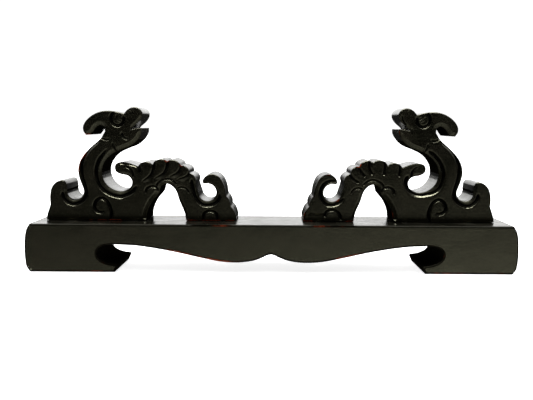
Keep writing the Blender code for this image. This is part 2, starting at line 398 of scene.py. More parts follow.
def lacquered_wood(name, grain_way, sheen, shine):
    """Thin black-brown lacquer on fine wood: streaks of grain, cloudy gloss, red where it is worn."""
    made = bpy.data.materials.new(name)
    made.use_nodes = True
    tree = made.node_tree
    shader = tree.nodes["Principled BSDF"]
    place = node_of(made, "ShaderNodeTexCoord", out="Object")
    streaks = node_of(made, "ShaderNodeMapping", Vector=place, Scale=grain_way)
    grain = node_of(
        made, "ShaderNodeTexNoise", out="Fac", Vector=streaks, Scale=1.0, Detail=5.0, Roughness=0.62,
    )
    cloud = node_of(
        made, "ShaderNodeTexNoise", out="Fac", Vector=place, Scale=70.0, Detail=3.0, Roughness=0.55,
    )
    speck = node_of(
        made, "ShaderNodeTexNoise", out="Fac", Vector=place, Scale=1200.0, Detail=2.0, Roughness=0.6,
    )
    patch = node_of(
        made, "ShaderNodeTexNoise", out="Fac", Vector=place, Scale=62.0, Detail=4.0, Roughness=0.7,
    )
    worn = node_of(made, "ShaderNodeAttribute", {"attribute_name": "worn"}, out="Fac")
    rubbed = node_of(made, "ShaderNodeMath", {"operation": "MULTIPLY"}, _0=worn, _1=patch)
    rubbed = eased(made, rubbed, 0.42, 0.60)
    groove_shade = node_of(made, "ShaderNodeAttribute", {"attribute_name": "recess"}, out="Fac")

    dark, light = (0.0006, 0.0006, 0.0004, 1), (0.0030, 0.0030, 0.0018, 1)
    coat = blended(made, eased(made, grain, 0.36, 0.66), dark, light)
    coat = blended(made, eased(made, cloud, 0.35, 0.72, 0.0, 0.45), coat, (0.0026, 0.0016, 0.0010, 1))
    # Painted shade: the coat goes near black the deeper a point lies in a cut, read from the recess
    # attribute.
    coat = blended(made, eased(made, groove_shade, 0.15, 0.85), coat, (0.0004, 0.0004, 0.0004, 1))
    red = blended(made, eased(made, speck, 0.35, 0.65), (0.050, 0.006, 0.003, 1), (0.15, 0.028, 0.009, 1))
    colour = blended(made, rubbed, coat, red)
    tree.links.new(colour, shader.inputs["Base Color"])

    gloss = eased(made, cloud, 0.3, 0.75, sheen, sheen + 0.10)
    gloss = node_of(
        made, "ShaderNodeMath", {"operation": "ADD"}, _0=gloss, _1=eased(made, rubbed, 0, 1, 0, 0.25),
    )
    # The sawn attribute also carries painted shade: the sides of deep cuts that do not face up lose gloss and
    # reflection.
    sawn = node_of(made, "ShaderNodeAttribute", {"attribute_name": "sawn"}, out="Fac")
    thin = node_of(made, "ShaderNodeMath", {"operation": "MULTIPLY", "use_clamp": True}, _0=worn, _1=1.25)
    dull = node_of(made, "ShaderNodeMath", {"operation": "MAXIMUM"}, _0=sawn, _1=thin)
    gloss = node_of(
        made, "ShaderNodeMath", {"operation": "ADD"}, _0=gloss, _1=eased(made, dull, 0, 1, 0, 0.30),
    )
    tree.links.new(gloss, shader.inputs["Roughness"])
    shines = eased(made, speck, 0.38, 0.62, 0.72 * shine, 1.32 * shine)
    shines = node_of(
        made, "ShaderNodeMath", {"operation": "MULTIPLY"}, _0=shines, _1=eased(made, dull, 0, 1, 1, 0),
    )
    tree.links.new(shines, shader.inputs["Specular IOR Level"])
    shader.inputs["Specular Tint"].default_value = (1.0, 0.98, 0.66, 1)

    fine = node_of(made, "ShaderNodeBump", Height=grain, Strength=0.12, Distance=0.00010)
    peel = node_of(made, "ShaderNodeBump", Height=speck, Strength=0.30, Distance=0.00014, Normal=fine)
    wide = node_of(made, "ShaderNodeBump", Height=cloud, Strength=0.30, Distance=0.00045, Normal=peel)
    tree.links.new(wide, shader.inputs["Normal"])
    return made


base_low, base_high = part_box("base_board")
board_depth = base_high[1] - base_low[1]
board_line = flowing(split_long(sawn_line("base_board", CLEAR_OF_BORES), 3 * MM), BOARD_STEP)
board_lacquer = lacquered_wood("lacquered_board", (90, 900, 1500), 0.16, 0.54)
section = eased_section(board_depth)
board = board_tree().run(
    wire("board_line", board_line, True),
    "lacquered_base",
    Section=section,
    Thickness=board_depth,
    Rim=ARRIS + FLAT_RIM,
    Finish=board_lacquer,
)
bpy.data.objects.remove(section)
closed_and_smooth(board)
INSIDE_THE_FEET = 116 * MM
dull_walls(board, INSIDE_THE_FEET, base_high[2] - 0.5 * MM)
BOARD_RUBBED = [
    (-45, 9, 34, 1.5), (50, 10, 22, 1.1), (-105, 0, 30, 1.15), (110, 0, 26, 1.15),
    (-36, 29.7, 26, 0.98), (38, 29.7, 26, 1.02),
]
rub_places(board, BOARD_RUBBED, 0.86)

# Pegs and screws have a little room in their bores: radii, and the gap past each end.
SHANK_HOLE = 2.1 * MM
HEAD_HOLE = 4.4 * MM
DOWEL_HOLE = 3.3 * MM
END_ROOM = 0.4 * MM
fixings = []
for side in ("left", "right"):
    for place in ("body", "tail"):
        for kind in ("dowel", "screw"):
            low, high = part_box(side + "_" + place + "_" + kind)
            fixings.append((kind, (low[0] + high[0]) / 2, (low[1] + high[1]) / 2, low[2], high[2]))
SCREW_HEAD_DEPTH = 2.2 * MM
deck = base_high[2]
board_holes = []
for kind, x, y, foot, top in fixings:
    if kind == "dowel":
        board_holes.append((x, y, DOWEL_HOLE, foot - END_ROOM, deck + 1 * MM))
    else:
        board_holes.append((x, y, SHANK_HOLE, foot, deck + 1 * MM))
        board_holes.append((x, y, HEAD_HOLE, -1 * MM, foot + SCREW_HEAD_DEPTH + 0.3 * MM))
drill(board, board_holes)
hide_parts("base_board")
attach(board, "root")

# ---------------------------------------------------------------------------------------------
# Dragons
# Two boards 31 mm thick, sawn to one pattern and turned to face each other. Gouge lines, scales,
# the eye ring and the bevels along the mouth, throat and arch are cut into both faces by hand.

STEP = 0.40 * MM
GRID = 0.46 * MM
EDGE_ROWS = (0.12, 0.30, 0.55, 0.90, 1.30)
EDGE_ROUND = 0.75
WALL_ROWS = (0.35, 1.0, 2.2)

WHOLE_STAND = 1000 * MM
# Where a cloth reaches the sawn walls: above this height, and within this half width.
HEADS = (80 * MM, 93 * MM)
TAILS = (30 * MM, 53 * MM)

# Points are in millimetres: along from the outer toe, and up from the sole.
THROAT_LINE = [
    (38.6, 44.5), (35.4, 40.3), (33.3, 36.9), (31.8, 31.6), (32.3, 25.6), (34.3, 21.2), (37.4, 18.0),
    (41.4, 16.0), (46.2, 14.9), (50.3, 16.0), (54.2, 18.2), (56.9, 21.6),
]
NECK_LINE = [
    (33.8, 49.6), (29.6, 46.4), (26.0, 42.4), (23.8, 38.4), (22.7, 34.4), (22.6, 30.4), (23.5, 25.5),
    (24.9, 20.5), (25.4, 16.3), (23.8, 13.1), (20.4, 10.7), (16.5, 9.9), (13.2, 11.3), (10.9, 14.2),
    (10.2, 17.9),
]
SPIRAL_LINE = [
    (40.1, -0.6), (40.9, 4.3), (39.8, 9.1), (37.7, 12.4), (34.7, 13.9), (31.7, 12.3), (30.3, 9.1),
    (31.2, 6.3), (33.6, 4.9), (36.4, 5.3),
]
TAIL_LINE = [
    (91.2, 26.0), (92.0, 21.0), (93.2, 16.4), (95.3, 12.4), (99.0, 9.8), (104.2, 10.2), (107.8, 12.8),
    (109.0, 17.0),
]
GROOVES = {
    "throat": (THROAT_LINE, 1.6, 1.5, 1.6, (7.0, 3.0)),
    "neck": (NECK_LINE, 1.3, 1.5, 1.4, (2.5, 2.0)),
    "spiral": (SPIRAL_LINE, 1.2, 1.3, 1.35, (0.1, 2.2)),
    "arch": (
        [
            (69.2, 21.2), (70.0, 23.2), (72.8, 25.3), (76.3, 26.1), (79.3, 25.1), (82.2, 22.4),
        ],
        0.9, 0.9, 1.0, (1.0, 1.0),
    ),
    "body_knee": (
        [
            (62.4, 16.6), (63.2, 19.8), (66.2, 21.4), (69.0, 20.8), (70.6, 18.6),
        ],
        1.1, 1.0, 1.1, (1.5, 1.0),
    ),
    "tail_knee": (
        [
            (82.2, 20.0), (84.4, 20.9), (87.0, 20.5), (88.8, 18.9), (90.0, 16.8),
        ],
        0.9, 0.9, 0.9, (0.5, 1.5),
    ),
    "tail": (TAIL_LINE, 1.3, 1.4, 1.4, (2.5, 2.5)),
    "tail_foot": (
        [
            (98.4, -0.5), (98.8, 3.8), (100.5, 5.6), (103.0, 6.2), (105.6, 5.4), (107.2, 3.4),
            (107.6, -0.5),
        ],
        1.0, 1.1, 1.2, (0.1, 0.1),
    ),
    "curl": (
        [
            (46.2, 35.9), (50.1, 35.3), (54.5, 34.7), (57.6, 33.2), (58.6, 28.6),
        ],
        0.8, 0.9, 1.0, (1.5, 1.5),
    ),
    "curl_inside": (
        [
            (47.9, 34.0), (50.6, 33.4), (53.0, 31.8), (54.3, 29.2), (54.3, 26.4),
        ],
        1.7, 0.7, 0.9, (2.0, 1.0),
    ),
    "curl_eye": ([(48.4, 33.4), (50.1, 32.4), (50.9, 30.9)], 0.5, 0.5, 0.5, (0.8, 0.8)),
    "cheek": ([(48.2, 55.2), (48.6, 53.1), (49.9, 51.6), (52.4, 51.2)], 0.7, 1.5, 1.0, (1.2, 1.0)),
    "nape": ([(34.9, 51.9), (37.6, 50.6), (40.6, 50.9)], 0.8, 1.1, 1.0, (0.1, 1.2)),
    "throat_nick": ([(42.2, 48.9), (43.0, 45.9), (44.7, 43.0)], 0.7, 0.7, 0.8, (1.2, 0.1)),
    "nostril": ([(52.4, 69.2), (54.0, 68.7), (55.0, 67.4), (55.2, 65.8)], 0.6, 0.6, 0.6, (0.8, 0.8)),
    "muzzle": ([(50.9, 67.6), (52.1, 66.2), (52.4, 64.4)], 0.6, 0.6, 0.5, (0.8, 0.8)),
    "eye": (
        [
            (43.3, 67.6), (41.8, 65.8), (41.3, 63.6), (41.9, 61.3), (43.4, 59.8), (45.4, 59.2),
            (47.4, 59.8), (48.9, 61.3), (49.4, 63.3), (48.9, 65.2),
        ],
        1.2, 1.3, 1.35, (1.2, 1.2),
    ),
    "eye_slit": ([(45.4, 66.4), (44.9, 64.3), (46.0, 62.5), (47.8, 62.3)], 0.6, 0.7, 0.7, (0.7, 0.7)),
    "scale_1": ([(57.8, 35.2), (58.8, 31.6), (58.2, 27.8)], 1.8, 0.6, 0.9, (0.1, 2.5)),
    "scale_2": ([(66.9, 36.8), (67.1, 31.9), (64.9, 27.7), (60.4, 24.4)], 2.6, 0.8, 1.25, (0.1, 4.0)),
    "scale_3": ([(75.9, 38.6), (75.4, 32.8), (72.9, 28.9), (68.2, 26.5)], 2.6, 0.8, 1.25, (0.1, 4.0)),
    "scale_4": ([(84.9, 36.2), (83.9, 32.0), (81.4, 29.2), (77.4, 27.6)], 2.6, 0.8, 1.25, (0.1, 4.0)),
    "scale_5": ([(90.6, 31.4), (89.0, 28.6), (86.2, 26.8), (82.4, 26.1)], 2.4, 0.8, 1.1, (0.1, 3.5)),
}
# Bevels run along the sawn edge from one place to another: width and depth, and how they taper.
BEVELS = [
    ((25.8, 53.4), (37.6, 56.0), 2.2, 1.35, (0.6, 2.5)),
    ((61.6, 66.2), (54.0, 57.2), 1.5, 0.9, (1.5, 1.5)),
    ((61.6, 69.2), (61.6, 64.0), 1.3, 1.1, (1.2, 1.2)),
    ((60.6, 56.0), (44.8, 43.4), 2.3, 1.4, (2.5, 0.8)),
    ((44.2, 43.2), (53.4, 21.6), 2.3, 1.35, (1.0, 4.0)),
    ((46.0, 29.4), (53.8, 26.4), 1.7, 0.8, (2.5, 2.0)),
    ((62.7, 0.6), (74.6, 23.2), 2.8, 1.5, (0.5, 3.0)),
    ((75.2, 23.2), (87.6, 0.8), 1.9, 1.1, (3.0, 0.5)),
    ((94.4, 21.0), (106.0, 22.0), 1.5, 0.9, (2.0, 2.0)),
    ((11.2, 24.6), (23.2, 17.0), 1.5, 0.9, (1.5, 2.0)),
    ((35.0, 49.6), (21.6, 24.0), 1.4, 0.75, (2.0, 5.0)),
    ((44.4, 35.6), (57.4, 34.6), 1.5, 0.6, (2.0, 1.0)),
]
# Where the finish has gone first: a place, how far it reaches, and how far it has worn.
RUBBED = {
    "left": [
        ((20.8, 32.5), 6.5, 1.0), ((23.0, 39.5), 6.0, 0.9), ((26.4, 53.5), 3.5, 0.7),
        ((75.9, 37.4), 1.8, 1.3),
        ((84.8, 34.8), 1.9, 1.3), ((35.0, 0.0), 4.5, 1.1), ((43.0, 0.0), 4.5, 1.1), ((115.5, 1.5), 4.5, 1.0),
        ((91.0, 0.5), 4.5, 1.0), ((62.0, 69.0), 2.5, 0.8), ((28.0, 0.0), 3.0, 0.8), ((103.0, 0.0), 8.0, 0.9),
        ((46.0, 36.2), 5.0, 0.6), ((112.0, 17.0), 6.0, 0.4), ((17.6, 13.2), 4.0, 0.5),
    ],
    "right": [
        ((84.8, 35.0), 2.4, 1.3), ((116.5, 2.5), 4.5, 1.2), ((104.0, 29.0), 4.0, 0.7),
        ((90.5, 1.5), 4.0, 1.1),
        ((65.0, 4.0), 4.0, 0.8), ((24.0, 40.0), 6.0, 0.5), ((97.0, 12.0), 3.2, 1.0), ((60.5, 55.5), 3.0, 0.5),
        ((48.0, 30.0), 3.5, 0.5), ((70.0, 22.0), 4.0, 0.5), ((112.5, 17.0), 5.0, 0.5),
    ],
}


def along_line(points, line):
    """For each point: how far it is from a line, how far along the line that is, and on which side."""
    best = np.full(len(points), 1e9)
    place = np.zeros(len(points))
    side = np.zeros(len(points))
    gone = 0.0
    for a, b in zip(line[:-1], line[1:]):
        way = b - a
        length = float(np.linalg.norm(way))
        if length < 1e-9:
            continue
        way = way / length
        off = points - a
        t = np.clip(off @ way, 0, length)
        gap = np.linalg.norm(off - t[:, None] * way, axis=1)
        closer = gap < best
        best[closer] = gap[closer]
        place[closer] = gone + t[closer]
        side[closer] = (way[0] * off[:, 1] - way[1] * off[:, 0])[closer]
        gone += length
    return best, place, side, gone


def taper(place, length, ends):
    """1 along the middle of a cut, running out to 0 at its two ends."""
    first = np.clip(place / ends[0] + 0.02, 0, 1)
    last = np.clip((length - place) / ends[1] + 0.02, 0, 1)
    return np.sqrt(first * last)


def groove_depth(points, line, left, right, depth, ends):
    """A cut with a V-gouge: its sides may differ in width, and it lifts out at its ends."""
    path = flowing(np.array(line, float), 0.35, closed=False)
    gap, place, side, length = along_line(points, path)
    fade = taper(place, length, ends)
    width = np.where(side > 0, left, right) * (0.35 + 0.65 * fade)
    share = np.clip(1 - gap / width, 0, 1)
    hollow = np.where(np.where(side > 0, left, right) > 1.5, share ** 1.5, share)
    return depth * fade * (hollow + 0.12 * np.sin(math.pi * share) * (share > 0))


def edge_run(outline, start, end):
    """The shorter stretch of a closed outline between the points nearest to two places."""
    count = len(outline)
    i = int(np.argmin(np.linalg.norm(outline - np.array(start), axis=1)))
    j = int(np.argmin(np.linalg.norm(outline - np.array(end), axis=1)))
    ahead = (j - i) % count
    if ahead <= count - ahead:
        picks = [(i + k) % count for k in range(ahead + 1)]
    else:
        picks = [(i - k) % count for k in range(count - ahead + 1)]
    return outline[picks]


def edge_gap(points, outline):
    """Distance from each point to the outline, looked up block by block."""
    gaps = np.empty(len(points))
    for first in range(0, len(points), 2000):
        block = points[first:first + 2000]
        flat = np.linalg.norm(block[:, None, :] - outline[None, :, :], axis=2)
        gaps[first:first + 2000] = flat.min(axis=1)
    return gaps


def carving(points, outline, grooves):
    """How deep the face is cut at each point, and how much of that is groove."""
    gap = edge_gap(points, outline)
    inside = np.clip(EDGE_ROUND - gap, 0, EDGE_ROUND)
    depth = EDGE_ROUND - np.sqrt(EDGE_ROUND ** 2 - inside ** 2)
    for start, end, width, deep, ends in BEVELS:
        run = edge_run(outline, start, end)
        near, place, side, length = along_line(points, run)
        fade = taper(place, length, ends)
        depth = np.maximum(depth, deep * fade * np.clip(1 - near / (width * (0.3 + 0.7 * fade)), 0, 1))
    recess = np.zeros(len(points))
    for line, left, right, deep, ends in grooves.values():
        cut = groove_depth(points, line, left, right, deep, ends)
        depth = np.maximum(depth, cut)
        recess = np.maximum(recess, cut / 1.2)
    return depth, recess, gap


def face_mesh(outline):
    """Triangles that fill the outline, with rows of points close inside its edge."""
    ahead = np.roll(outline, -1, axis=0) - np.roll(outline, 1, axis=0)
    inward = np.column_stack([-ahead[:, 1], ahead[:, 0]])
    inward /= np.linalg.norm(inward, axis=1)[:, None]
    extra = []
    for row in EDGE_ROWS:
        moved = outline + inward * row
        extra.append(moved[edge_gap(moved, outline) > 0.93 * row])
    low, high = outline.min(axis=0), outline.max(axis=0)
    pitch = GRID / MM
    rows = np.arange(low[1], high[1], pitch * math.sqrt(0.75))
    for k, up in enumerate(rows):
        along = np.arange(low[0] + (k % 2) * pitch / 2, high[0], pitch)
        extra.append(np.column_stack([along, np.full(len(along), up)]))
    loose = np.vstack(extra[len(EDGE_ROWS):])
    loose = loose[edge_gap(loose, outline) > EDGE_ROWS[-1] + 0.3 * pitch]
    points = np.vstack([outline] + extra[:len(EDGE_ROWS)] + [loose])
    count = len(outline)
    edges = [(i, (i + 1) % count) for i in range(count)]
    verts, _, faces, origin, _, _ = delaunay_2d_cdt(
        [Vector(p) for p in points], edges, [list(range(count))], 1, 1e-5
    )
    verts = np.array([tuple(v) for v in verts])
    rim = {}
    for made, sources in enumerate(origin):
        for source in sources:
            if source < count:
                rim[source] = made
    return verts, [tuple(f) for f in faces], [rim[i] for i in range(count)]


def carved_dragon(name, side, node, way, grooves, finish):
    low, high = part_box(node)
    toe = (low[0] if way > 0 else high[0]) / MM
    sole, front, back = low[2] / MM, low[1] / MM, high[1] / MM
    line = sawn_line(node, low[1] + 3 * MM) / MM
    line = np.column_stack([(line[:, 0] - toe) * way, line[:, 1] - sole])
    if way < 0:
        line = line[::-1]
    outline = flowing(line, STEP / MM)
    verts, faces, rim = face_mesh(outline)
    depth, recess, gap = carving(verts, outline, grooves)
    count = len(verts)

    worn = np.zeros(count)
    for place, reach, amount in RUBBED[side]:
        away = np.linalg.norm(verts - np.array(place), axis=1)
        worn = np.maximum(worn, amount * np.clip(1.25 - away / reach, 0, 1))
    worn = (0.35 + worn) * np.exp(-((gap / 0.9) ** 2))
    worn[verts[:, 1] < 0.8] += 0.25

    points, loops = [], []
    for y, turn in ((front, 1), (back, -1)):
        for (u, z), cut in zip(verts, depth):
            points.append(((toe + u * way) * MM, (y + turn * cut) * MM, (sole + z) * MM))
    for a, b, c in faces:
        loops.append((a, b, c))
        loops.append((count + a, count + c, count + b))
    rows = [list(rim)]
    shades = []
    spots = [(front, 1, row) for row in WALL_ROWS] + [(back, -1, row) for row in reversed(WALL_ROWS)]
    for y, turn, row in spots:
        first = len(points)
        for i, at in enumerate(rim):
            u, z = verts[at]
            points.append(((toe + u * way) * MM, (y + turn * (depth[at] + row)) * MM, (sole + z) * MM))
            shades.append((worn[at] * math.exp(-row / 1.1), 0.0))
        rows.append(list(range(first, first + len(rim))))
    rows.append([count + at for at in rim])
    for upper, lower in zip(rows[:-1], rows[1:]):
        for i in range(len(rim)):
            j = (i + 1) % len(rim)
            loops.append((upper[i], upper[j], lower[j], lower[i]))

    mesh = bpy.data.meshes.new(name)
    mesh.from_pydata(points, [], loops)
    made = bpy.data.objects.new(name, mesh)
    bpy.context.collection.objects.link(made)
    walls = np.array(shades)
    for key, values, extra in (("worn", worn, walls[:, 0]), ("recess", recess, walls[:, 1])):
        layer = mesh.attributes.new(key, "FLOAT", "POINT")
        layer.data.foreach_set("value", np.concatenate([values, values, extra]).astype(np.float32))
    mesh.materials.append(finish)
    closed_and_smooth(made)
    dull_walls(made, WHOLE_STAND, 0.0, [HEADS, TAILS])
    holes = []
    for kind, x, y, foot, top in fixings:
        if low[0] < x < high[0]:
            radius = DOWEL_HOLE if kind == "dowel" else SHANK_HOLE
            holes.append((x, y, radius, low[2] - 1 * MM, top + END_ROOM))
    drill(made, holes)
    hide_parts(node)
    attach(made, "root")
    return made


dragon_lacquer = lacquered_wood("lacquered_carving", (40, 500, 1300), 0.17, 0.33)
carved_dragon("left_carved_dragon", "left", "left_dragon", 1, GROOVES, dragon_lacquer)

# The right dragon is the same pattern in another hour's work: its own cheek, eye, curl and scales.
right_grooves = dict(GROOVES)
right_grooves.update({
    "cheek": ([(52.4, 58.4), (52.2, 56.0), (52.5, 53.6)], 0.6, 0.6, 0.6, (1.0, 1.0)),
    "eye_slit": ([(46.0, 67.0), (46.4, 64.8), (48.6, 63.4)], 0.7, 0.7, 0.8, (0.7, 0.7)),
    "eye_lid": ([(44.2, 65.0), (45.4, 63.2), (47.6, 62.2)], 0.6, 0.6, 0.7, (0.7, 0.7)),
    "curl": ([(50.6, 32.9), (51.8, 31.0), (52.2, 28.0)], 1.0, 1.0, 1.2, (1.5, 0.1)),
    "curl_inside": ([(47.6, 34.0), (49.8, 33.7), (51.4, 32.0)], 0.8, 0.8, 0.8, (1.2, 1.0)),
    "throat": (
        [
            (42.0, 44.5), (38.8, 42.2), (35.6, 38.8), (33.2, 34.6), (32.2, 30.3), (32.7, 25.4), (34.6, 21.2),
            (37.6, 18.6), (41.0, 17.4), (46.7, 16.6), (51.6, 18.0), (54.8, 21.6), (55.6, 25.3), (54.4, 29.0),
        ],
        1.5, 1.6, 1.6, (3.0, 2.0),
    ),
    "muzzle": ([(59.0, 66.6), (57.9, 62.9), (55.9, 60.0)], 0.8, 0.8, 0.8, (1.5, 1.0)),
    "scale_1": ([(59.2, 36.6), (59.6, 32.3), (60.0, 28.0)], 0.7, 1.6, 1.15, (0.1, 0.6)),
    "scale_2": ([(68.9, 37.8), (69.0, 32.7), (69.7, 29.0)], 0.7, 1.6, 1.15, (0.1, 0.6)),
    "scale_3": ([(78.5, 38.0), (78.6, 33.4), (76.6, 29.2)], 0.7, 1.6, 1.15, (0.1, 0.6)),
    "scale_4": ([(86.4, 35.6), (84.2, 31.6), (80.9, 27.7)], 0.7, 1.8, 1.15, (0.1, 0.6)),
    "scale_5": ([(91.4, 30.2), (88.8, 26.6), (84.9, 24.0)], 0.7, 1.8, 1.15, (0.1, 0.6)),
    "tail": (
        [
            (94.0, 14.6), (97.2, 11.6), (101.1, 10.2), (104.9, 10.7), (107.7, 13.6), (108.6, 18.0),
            (107.2, 22.3), (103.8, 24.8), (99.0, 25.4),
        ],
        1.3, 1.4, 1.4, (2.5, 1.5),
    ),
    "tail_foot": (
        [
            (95.8, 0.6), (96.6, 4.4), (99.0, 6.6), (102.2, 7.1), (105.0, 5.6), (106.0, 2.4),
        ],
        1.0, 1.0, 1.15, (0.4, 1.0),
    ),
    "foot_line": ([(105.6, 4.4), (116.4, 4.5)], 0.5, 0.5, 0.35, (1.0, 2.0)),
    "nostril": ([(53.0, 69.6), (54.4, 68.9), (55.2, 67.8)], 0.5, 0.5, 0.4, (0.8, 0.8)),
})
carved_dragon("right_carved_dragon", "right", "right_dragon", -1, right_grooves, dragon_lacquer)

# ---------------------------------------------------------------------------------------------
# Dowels
# Four turned pegs, fluted so that the glue can escape, half in the deck and half in the dragons.
# They are bare hardwood and are out of sight once the stand is together.

FLUTES = 16
FLUTE_DEPTH = 0.25 * MM


def dowel_tree():
    tree = Tree("fluted_pegs")
    tree.socket("Radius", "NodeSocketFloat")
    tree.socket("Length", "NodeSocketFloat")
    tree.socket("Flutes", "NodeSocketInt")
    tree.socket("Flute depth", "NodeSocketFloat")
    tree.socket("Finish", "NodeSocketMaterial")
    ring_points = tree.node("ShaderNodeMath", {"operation": "MULTIPLY"}, _0=tree.given("Flutes"), _1=4.0)
    section = tree.node(
        "GeometryNodeCurvePrimitiveCircle", Radius=tree.given("Radius"), Resolution=ring_points,
    )
    index = tree.node("GeometryNodeInputIndex")
    turn = tree.node("ShaderNodeMath", {"operation": "MULTIPLY"}, _0=index, _1=math.pi / 2)
    wave = tree.node("ShaderNodeMath", {"operation": "COSINE"}, _0=turn)
    dip = tree.node("ShaderNodeMath", {"operation": "MULTIPLY"}, _0=wave, _1=tree.given("Flute depth"))
    share = tree.node("ShaderNodeMath", {"operation": "DIVIDE"}, _0=dip, _1=tree.given("Radius"))
    share = tree.node("ShaderNodeMath", {"operation": "MULTIPLY"}, _0=share, _1=-0.5)
    place = tree.node("GeometryNodeInputPosition")
    shift = tree.node("ShaderNodeVectorMath", {"operation": "SCALE"}, _0=place, Scale=share)
    section = tree.node("GeometryNodeSetPosition", Geometry=section, Offset=shift)
    top = tree.node("ShaderNodeCombineXYZ", Z=tree.given("Length"))
    core = tree.node("GeometryNodeCurvePrimitiveLine", Start=(0, 0, 0), End=top)
    core = tree.node("GeometryNodeResampleCurve", Curve=core, Count=12)
    parameter = tree.node("GeometryNodeSplineParameter", out="Factor")
    middle = tree.node("ShaderNodeMath", {"operation": "SUBTRACT"}, _0=parameter, _1=0.5)
    middle = tree.node("ShaderNodeMath", {"operation": "ABSOLUTE"}, _0=middle)
    round_ends = tree.node(
        "ShaderNodeMapRange", Value=middle, From_Min=0.44, From_Max=0.5, To_Min=1.0, To_Max=0.86
    )
    core = tree.node("GeometryNodeSetCurveRadius", Curve=core, Radius=round_ends)
    peg = tree.node(
        "GeometryNodeCurveToMesh", Curve=core, Profile_Curve=section, Scale=round_ends, Fill_Caps=True
    )
    many = tree.node("GeometryNodeInstanceOnPoints", Points=tree.given("Geometry"), Instance=peg)
    tree.close(many)
    return tree


def dots(name, places):
    mesh = bpy.data.meshes.new(name)
    mesh.from_pydata(places, [], [])
    obj = bpy.data.objects.new(name, mesh)
    bpy.context.collection.objects.link(obj)
    return obj


def bare_wood(name):
    made = bpy.data.materials.new(name)
    made.use_nodes = True
    shader = made.node_tree.nodes["Principled BSDF"]
    place = node_of(made, "ShaderNodeTexCoord", out="Object")
    streaks = node_of(made, "ShaderNodeMapping", Vector=place, Scale=(1600, 1600, 90))
    grain = node_of(made, "ShaderNodeTexNoise", out="Fac", Vector=streaks, Scale=1.0, Detail=4.0)
    colour = blended(made, eased(made, grain, 0.35, 0.65), (0.30, 0.18, 0.09, 1), (0.52, 0.36, 0.20, 1))
    made.node_tree.links.new(colour, shader.inputs["Base Color"])
    made.node_tree.links.new(eased(made, grain, 0.3, 0.7, 0.6, 0.75), shader.inputs["Roughness"])
    bump = node_of(made, "ShaderNodeBump", Height=grain, Strength=0.3, Distance=0.00008)
    made.node_tree.links.new(bump, shader.inputs["Normal"])
    return made


pegs = [(x, y, foot, top) for kind, x, y, foot, top in fixings if kind == "dowel"]
dowels = dowel_tree().run(
    dots("dowel_feet", [(x, y, foot) for x, y, foot, top in pegs]),
    "fluted_dowels",
    Radius=DOWEL_HOLE - 0.3 * MM,
    Length=float(pegs[0][3] - pegs[0][2]),
    Flutes=FLUTES,
    Flute_depth=FLUTE_DEPTH,
    Finish=bare_wood("peg_hardwood"),
)
closed_and_smooth(dowels)
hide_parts("left_body_dowel", "left_tail_dowel", "right_body_dowel", "right_tail_dowel")
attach(dowels, "root")

# ---------------------------------------------------------------------------------------------
# Screws
# Four slotted steel screws, driven up from counterbores under the base into the dragons' soles.
# Each is a lathe-turned head and shank with a rolled thread; only the heads show, from below.

SCREW_RADIUS = 1.8 * MM
HEAD_RADIUS = 3.6 * MM
THREAD_PITCH = 1.4 * MM
THREAD_HEIGHT = 0.45 * MM
SLOT_WIDTH = 1.0 * MM
SLOT_DEPTH = 0.9 * MM
TURN_POINTS = 20


def screw_tree():
    tree = Tree("threaded_screws")
    for name in ("Shank radius", "Length", "Pitch", "Thread height", "Head depth"):
        tree.socket(name, "NodeSocketFloat")
    tree.socket("Screw", "NodeSocketObject")
    tree.socket("Finish", "NodeSocketMaterial")
    run = tree.node(
        "ShaderNodeMath", {"operation": "SUBTRACT"}, _0=tree.given("Length"), _1=tree.given("Head depth")
    )
    run = tree.node("ShaderNodeMath", {"operation": "MULTIPLY"}, _0=run, _1=0.8)
    turns = tree.node("ShaderNodeMath", {"operation": "DIVIDE"}, _0=run, _1=tree.given("Pitch"))
    helix = tree.node(
        "GeometryNodeCurveSpiral",
        Resolution=TURN_POINTS,
        Rotations=turns,
        Start_Radius=tree.given("Shank radius"),
        End_Radius=tree.given("Shank radius"),
        Height=run,
    )
    sides = tree.node(
        "GeometryNodeCurvePrimitiveCircle", Resolution=3, Radius=tree.given("Thread height")
    )
    thread = tree.node("GeometryNodeCurveToMesh", Curve=helix, Profile_Curve=sides, Fill_Caps=True)
    lift = tree.node("ShaderNodeMath", {"operation": "MULTIPLY"}, _0=tree.given("Length"), _1=0.2)
    lift = tree.node("ShaderNodeCombineXYZ", Z=lift)
    thread = tree.node("GeometryNodeTransform", Geometry=thread, Translation=lift)
    blank = tree.node("GeometryNodeObjectInfo", out="Geometry", Object=tree.given("Screw"))
    join = tree.tree.nodes.new("GeometryNodeJoinGeometry")
    tree.tree.links.new(thread, join.inputs[0])
    tree.tree.links.new(blank, join.inputs[0])
    many = tree.node(
        "GeometryNodeInstanceOnPoints", Points=tree.given("Geometry"), Instance=join.outputs[0]
    )
    tree.close(many)
    return tree


